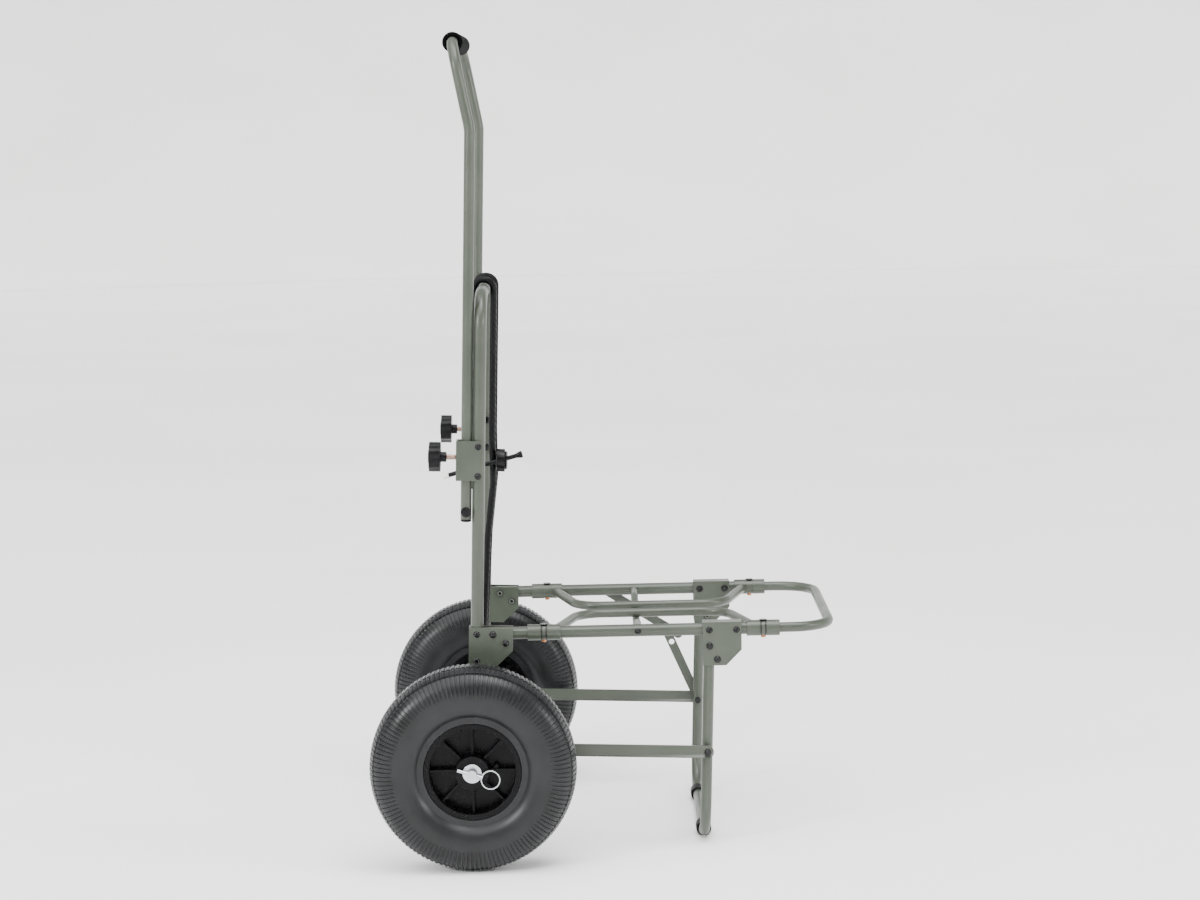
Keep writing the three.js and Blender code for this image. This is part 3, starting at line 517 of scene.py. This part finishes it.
def pin_end(name, x, way, body):
    """The bare lower end of a push pin, chamfered, below its sleeve."""
    end = [
        (0, 0), (PIN_END_RADIUS, 0), (PIN_END_RADIUS, PIN_END_LENGTH * PIN_CHAMFER_RISE),
        (PIN_END_RADIUS * PIN_CHAMFER, PIN_END_LENGTH), (0, PIN_END_LENGTH),
    ]
    start = at_floor(x, way * TUBE_SPREAD, RAIL_HEIGHT - SLEEVE_RADIUS + PIN_END_INSIDE)
    turned(name, end, start, (0, 0, -1), copper_plate, body)


cap_plastic = finish(
    "moulded_cap_black", dark="#040405", light="#0B0B0D",
    patch=10, grain=0.6, relief=0.01, roughness=0.24, shine=0.2,
)
copper_plate = finish(
    "copper_plate", dark="#9A6240", light="#BE8158",
    patch=6, grain=0.5, relief=0.02, roughness=0.35, metallic=1.0,
)
for side, way in SIDES.items():
    clothe(powder_coat, f"side_bar_{side}")
    for end, x in SLEEVE_PLACES.items():
        clothe(powder_coat, f"side_sleeve_{end}_{side}", edge=0.5)
        clothe(cap_plastic, f"sleeve_pin_{end}_{side}", edge=0.4)
        # Two dark half rings on each sleeve are painted shade, drawn where its middle gap is shaded.
        for index, apart in enumerate((-SHADE_RING_SPREAD, SHADE_RING_SPREAD)):
            slot_shade_ring(f"clip_wire_{end}_{side}_{index}", x + apart, way, f"side_{side}")
        for index, start in enumerate((x - SLEEVE_HALF, x + SLEEVE_HALF - COLLAR_LENGTH)):
            sleeve_collar(f"sleeve_collar_{end}_{side}_{index}", start, way, f"side_{side}")
        pin_end(f"copper_pin_end_{end}_{side}", x, way, f"side_{side}")

# Front loop: a bent steel tube whose two straight legs slide inside the rails. It has the same
# grey-green powder coat as the rest.
clothe(powder_coat, "front_loop")

# Leg frame, struts and folding brace: a bent tube leg on two moulded rubber feet, tied to the axle by
# flat steel struts, with a two-link brace on the far side only. Rubber feet are a dead matt black.
foot_rubber = finish(
    "foot_rubber_black", dark="#060607", light="#0F1011",
    patch=15, grain=0.8, relief=0.05, roughness=0.6, shine=0.25,
)
clothe(powder_coat, "leg_frame")
clothe(powder_coat, "brace_upper_link", "brace_lower_link", edge=0.4)
for side in SIDES:
    clothe(foot_rubber, f"leg_foot_{side}", edge=0.8)
    clothe(powder_coat, f"strut_{side}", edge=0.5)
    clothe(black_steel, f"strut_bolt_{side}", edge=0.8)

# Handle: a lighter bent tube behind the backrest, sliding in two folded clamps that are pinched by
# lobed black knobs, with a foamed rubber sleeve on its crossbar. The foam is nearly black and
# scatters light, so its highlight is broad and faint.
CLAMP_SCREW_UPS = (357.5, 395)
CLAMP_SCREW_BACK = 0.6
KNOB_UP = 380.5
KNOB_FACE = 63.1
BOSS_RADIUS = 9
BOSS_WALL = 0.7
BOSS_FACE = 8.2
BOSS_RISE = 1.1
STEM_END = 41
THREAD_RADIUS = 3.25
THREAD_ROOT = 0.94
THREAD_PITCH = 1.25
THREAD_END = 29.2

# The foam's pores are a few tenths of a millimetre. They are drawn at 1.1 mm so that they show.
grip_foam = finish(
    "foamed_rubber_black", dark="#040405", light="#0A0A0B",
    patch=18, grain=1.1, relief=0.12, roughness=0.9, shine=0.04,
)
# The knobs' screws are steel with a thin wash of copper, a pale warm brown with a clear highlight.
thread_steel = finish(
    "copper_washed_steel", dark="#7A6255", light="#A68B7C",
    patch=6, grain=0.5, relief=0.02, roughness=0.3, metallic=1.0,
)
# Moulded knobs are black with a low, even sheen along their lobes.
knob_plastic = finish(
    "moulded_knob_black", dark="#050506", light="#0C0C0E",
    patch=16, grain=0.7, relief=0.02, roughness=0.3, shine=0.18,
)
clothe(powder_coat, "handle_frame")
clothe(grip_foam, "handle_grip", edge=1.8)


def knob_thread(name, way, body):
    """The bare screw between knob and clamp, as a row of threads."""
    length = STEM_END - THREAD_END
    root = THREAD_RADIUS * THREAD_ROOT
    profile = [(0, 0)]
    for i in range(int(length / THREAD_PITCH)):
        profile += [(root, i * THREAD_PITCH), (THREAD_RADIUS, (i + 0.5) * THREAD_PITCH)]
    profile += [(root, length), (0, length)]
    start = at_back(-STEM_END, way * TUBE_SPREAD, KNOB_UP)
    turned(name, profile, start, AHEAD, thread_steel, body)


def knob_boss(name, way, body):
    """The shallow round boss in the middle of the knob's outer face."""
    boss = [
        (0, 0), (BOSS_RADIUS, 0), (BOSS_RADIUS, BOSS_WALL), (BOSS_FACE, BOSS_RISE), (0, BOSS_RISE),
    ]
    start = at_back(-KNOB_FACE, way * TUBE_SPREAD, KNOB_UP)
    turned(name, boss, start, -AHEAD, knob_plastic, body, sides=WIDE_SIDES)


for side, way in SIDES.items():
    clothe(powder_coat, f"handle_clamp_{side}", edge=0.5)
    clothe(knob_plastic, f"clamp_knob_{side}", edge=2.6)
    clothe(cap_plastic, f"handle_end_plug_{side}", edge=1.4)
    knob_thread(f"knob_thread_{side}", way, f"knob_{side}")
    knob_boss(f"knob_boss_{side}", way, f"knob_{side}")
    for index, up in enumerate(CLAMP_SCREW_UPS):
        plate_screw("clamp", side, index, lambda y: at_back(-CLAMP_SCREW_BACK, y, up), "frame")

# Shock cords and toggle: rubber cords in a tight black braid with moulded ends, hooked over the top
# bar, and a moulded disc with a stiff tie on the near one. The braid reads as fine slanting ribs on a
# deep, nearly matt black. Each cord runs from its foot at the axle tube to its end behind the bar.
CORD_RADIUS = 4.4
CORD_SPREAD = 40
CORD_LIFT = 0.5
CORD_SIDES = 16
CORD_STEP = 3
CORD_SHARP_FROM = math.radians(50)
CORD_END = [(0, -2), (4.9, -2), (5.3, -1), (5.3, 12), (4.6, 14.4), (2.6, 15.6), (0, 16)]
BRAID_LENGTH = 13.5
BRAID_WANDER = 0.6
BRAID_DETAIL = 1.0
BRAID_RELIEF = 0.35
BRAID_STRENGTH = 0.9
BACKREST_TOP = 586
AXLE_TUBE_RADIUS = 11
PLATE_REACH = 46
TOGGLE_UP = 364
TOGGLE_Y = -49.4
TOGGLE_RADIUS = 15
TOGGLE_MIDDLE = 25
TOGGLE_FACE = 30.2
TOGGLE_COLLAR = [(0, 0), (10.5, 0), (12.2, 1.2), (12.2, 2.4), (10, 3.6), (0, 3.6)]
TIE_SLOPE = math.radians(17)
TIE_REAR = -43
TIE_FRONT = 46
TIE_TIP = [(0, 0), (3.4, 0), (3.4, 6.5), (2.4, 7.6), (0, 7.6)]
TIE_FLARE = [(0, 0), (3.4, 0), (4.6, 5), (4.6, 6.6), (3.8, 7.4), (0, 7.4)]

# The wave draws a rib every 0.63 of its length, here 8.5 mm. A real braid has one every 1 or 2 mm,
# which is too fine to show.
cord_braid = finish(
    "braided_cord_black", dark="#030304", light="#08080A",
    patch=8, grain=0.6, relief=0.05, roughness=0.45, shine=0.15,
)
tree = cord_braid.node_tree
weave = add_node(
    tree, "ShaderNodeTexWave",
    settings={"wave_type": "BANDS", "bands_direction": "DIAGONAL"},
    values={"Scale": 1 / (BRAID_LENGTH * MM), "Distortion": BRAID_WANDER, "Detail": BRAID_DETAIL},
    links={"Vector": add_node(tree, "ShaderNodeTexCoord").outputs["Object"]},
)
ribs = add_node(
    tree, "ShaderNodeBump",
    values={"Strength": BRAID_STRENGTH, "Distance": BRAID_RELIEF * MM},
    links={"Height": weave.outputs["Fac"]},
)
tree.links.new(ribs.outputs["Normal"], tree.nodes["Principled BSDF"].inputs["Normal"])
# The tie's rear tip is dipped in plastic of a warm, slightly dull white.
tip_white = finish(
    "moulded_tip_white", dark="#D8D8D4", light="#E6E6E2",
    patch=5, grain=0.5, relief=0.01, roughness=0.45,
)


def rounded(corners, radii):
    """Points close together along a line of corners whose inner ones are rounded, all in mm."""
    points = [corners[0]]
    for before, corner, after, radius in zip(corners, corners[1:], corners[2:], radii):
        into = (corner - before).normalized()
        out = (after - corner).normalized()
        turn = into.angle(out)
        first = corner - into * radius * math.tan(turn / 2)
        inward = (out - into * into.dot(out)).normalized()
        centre = first + inward * radius
        steps = max(2, math.ceil(radius * turn / CORD_STEP))
        for k in range(steps + 1):
            part = turn * k / steps
            points.append(centre - inward * radius * math.cos(part) + into * radius * math.sin(part))
    points.append(corners[-1])
    close = [points[0]]
    for before, after in zip(points, points[1:]):
        count = max(1, math.ceil((after - before).length / CORD_STEP))
        close += [before.lerp(after, (k + 1) / count) for k in range(count)]
    return close


def cord_route(y):
    """The cord's middle line in metres, from its foot at the axle tube to its end behind the bar."""
    turn = RAIL_RADIUS + CORD_RADIUS + CORD_LIFT
    places = [
        (-turn, TOGGLE_UP), (-turn, BACKREST_TOP + turn), (turn, BACKREST_TOP + turn),
        (turn, TOGGLE_UP + TOGGLE_RADIUS * 2),
        (turn + CORD_RADIUS / 2, TOGGLE_UP - TOGGLE_RADIUS * 2),
        (turn - CORD_RADIUS, (TOGGLE_UP + PIVOT_HEIGHT) / 2),
        (CORD_RADIUS, PIVOT_HEIGHT - PLATE_REACH / 2),
        (0, AXLE_TUBE_RADIUS + CORD_RADIUS),
    ]
    over_bar = RAIL_RADIUS + CORD_RADIUS
    easy_bend = TOGGLE_RADIUS * 4
    radii = [over_bar] * 2 + [easy_bend] * 4
    line = rounded([Vector((ahead, 0, up)) for ahead, up in places], radii)
    return [at_back(point.x, y, point.z) for point in reversed(line)]


def cord_tube(name, path):
    """A round tube of braided cord along a path that keeps to one upright plane."""
    work = bmesh.new()
    across = Vector((0, 1, 0))
    rings = []
    for i, point in enumerate(path):
        along = path[min(i + 1, len(path) - 1)] - path[max(i - 1, 0)]
        outward = along.normalized().cross(across)
        turns = [2 * math.pi * k / CORD_SIDES for k in range(CORD_SIDES)]
        spokes = [across * math.cos(t) + outward * math.sin(t) for t in turns]
        rings.append([work.verts.new(point + spoke * CORD_RADIUS * MM) for spoke in spokes])
    skin(work, rings)
    piece = into_piece(name, work, Matrix.Identity(4), cord_braid)
    piece.data.set_sharp_from_angle(angle=CORD_SHARP_FROM)
    return piece


def along_tie(ahead):
    """A point on the tie's middle line at a distance ahead of the backrest."""
    return at_back(ahead, TOGGLE_Y, TOGGLE_UP + (ahead - TOGGLE_MIDDLE) * math.tan(TIE_SLOPE))


def moulded_end(name, profile, start, direction, material):
    """A small moulded piece that ends a cord or tie, or rims the toggle, on the frame."""
    return turned(name, profile, start, direction, material, "frame")


for side, way in SIDES.items():
    route = cord_route(way * CORD_SPREAD)
    shock_cord = cord_tube(f"braided_cord_{side}", route)
    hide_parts(f"shock_cord_{side}")
    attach(shock_cord, "frame")
    end_way = (route[-1] - route[-2]).normalized()
    cord_end = moulded_end(f"cord_end_{side}", CORD_END, route[-1], end_way, cap_plastic)
clothe(cap_plastic, "cord_toggle", edge=0.8)
tie_way = (along_tie(1) - along_tie(0)).normalized()
moulded_end("tie_rear_tip", TIE_TIP, along_tie(TIE_REAR), -tie_way, tip_white)
moulded_end("tie_front_flare", TIE_FLARE, along_tie(TIE_FRONT), tie_way, cap_plastic)
toggle_face = at_back(TOGGLE_FACE, TOGGLE_Y, TOGGLE_UP)
moulded_end("toggle_collar", TOGGLE_COLLAR, toggle_face, AHEAD, cap_plastic)

# Floor and light: a round white paper floor that curls up into a wall far away on every side, under a
# white world and a broad soft sun, with one square soft light overhead and a smaller one to each side.
# These lengths are in metres. The paper is matt white, and its fibres are drawn at 6 mm.
FLOOR_RADIUS = 12
CURL_RADIUS = 5
WALL_TOP = 8
CURL_STEPS = 28
FLOOR_SIDES = 96
WORLD_STRENGTH = 0.75
AIM = Vector((0, 0, 0.45))
SUN_STRENGTH = 4.2
SUN_SPREAD = math.radians(75)
SUN_TILT = (math.radians(14), math.radians(-10), 0)

studio_paper = finish(
    "studio_paper", dark="#F8F8F7", light="#FFFFFF",
    patch=900, grain=6, relief=0.01, roughness=0.9,
)
edge_line = [(FLOOR_RADIUS, 0)]
for step in range(1, CURL_STEPS + 1):
    curl = math.pi / 2 * step / CURL_STEPS
    edge_line.append((FLOOR_RADIUS + CURL_RADIUS * math.sin(curl), CURL_RADIUS * (1 - math.cos(curl))))
edge_line.append((FLOOR_RADIUS + CURL_RADIUS, WALL_TOP))
corners = []
for radius, height in edge_line:
    for i in range(FLOOR_SIDES):
        turn = 2 * math.pi * i / FLOOR_SIDES
        corners.append((radius * math.cos(turn), radius * math.sin(turn), height))
faces = [tuple(range(FLOOR_SIDES))]
for ring in range(len(edge_line) - 1):
    low = ring * FLOOR_SIDES
    high = low + FLOOR_SIDES
    for i in range(FLOOR_SIDES):
        j = (i + 1) % FLOOR_SIDES
        faces.append((low + i, low + j, high + j, high + i))
paper_mesh = bpy.data.meshes.new("paper_floor")
paper_mesh.from_pydata(corners, [], faces)
# The floor's one large face stays flat shaded, because smooth normals darken it.
paper_mesh.polygons.foreach_set("use_smooth", [False] + [True] * (len(faces) - 1))
paper_mesh.materials.append(studio_paper)
paper = bpy.data.objects.new("paper_floor", paper_mesh)
bpy.context.scene.collection.objects.link(paper)

world = bpy.data.worlds.new("studio")
bpy.context.scene.world = world
world.use_nodes = True
world.node_tree.nodes["Background"].inputs["Color"].default_value = linear("#FFFFFF")
world.node_tree.nodes["Background"].inputs["Strength"].default_value = WORLD_STRENGTH


def soft_light(name, place, size, power):
    """A square light at place, aimed at the middle of the trolley."""
    lamp = bpy.data.lights.new(name, "AREA")
    lamp.size = size
    lamp.energy = power
    lamp.shape = "SQUARE"
    holder = bpy.data.objects.new(name, lamp)
    bpy.context.scene.collection.objects.link(holder)
    holder.location = place
    holder.rotation_euler = (AIM - Vector(place)).to_track_quat("-Z", "Y").to_euler()


soft_light("overhead", place=(0.6, -0.8, 3.2), size=1.6, power=55)
soft_light("left", place=(-2.6, -2.4, 1.7), size=0.7, power=85)
soft_light("right", place=(2.9, -1.6, 1.5), size=0.7, power=45)
sun = bpy.data.lights.new("sky", "SUN")
sun.angle = SUN_SPREAD
sun.energy = SUN_STRENGTH
sun_holder = bpy.data.objects.new("sky", sun)
bpy.context.scene.collection.objects.link(sun_holder)
sun_holder.rotation_euler = SUN_TILT

# Camera: a long lens a little above the trolley and square to its side, where the lines that run
# into the picture meet at one point above its middle.
PICTURE = (1200, 900)
FOCAL_PIXELS = 2850
DEPTH_POINT = (584, 101)
CAMERA_ROLL = 0.0213
CAMERA_PLACE = (156.54, -3740.59, 955.82)
SENSOR = 36

right_of_middle = DEPTH_POINT[0] - PICTURE[0] / 2
above_middle = PICTURE[1] / 2 - DEPTH_POINT[1]
into = Vector((right_of_middle, above_middle, -FOCAL_PIXELS)).normalized()
up = Vector((-math.sin(CAMERA_ROLL), math.cos(CAMERA_ROLL), 0))
up = (up - into * into.dot(up)).normalized()
turn = Matrix((into.cross(up), into, up)).to_4x4()
camera_data = bpy.data.cameras.new("camera")
camera_data.sensor_width = SENSOR
camera_data.lens = FOCAL_PIXELS * SENSOR / PICTURE[0]
camera = bpy.data.objects.new("camera", camera_data)
bpy.context.scene.collection.objects.link(camera)
camera.matrix_world = Matrix.Translation(at_floor(*CAMERA_PLACE)) @ turn
bpy.context.scene.camera = camera
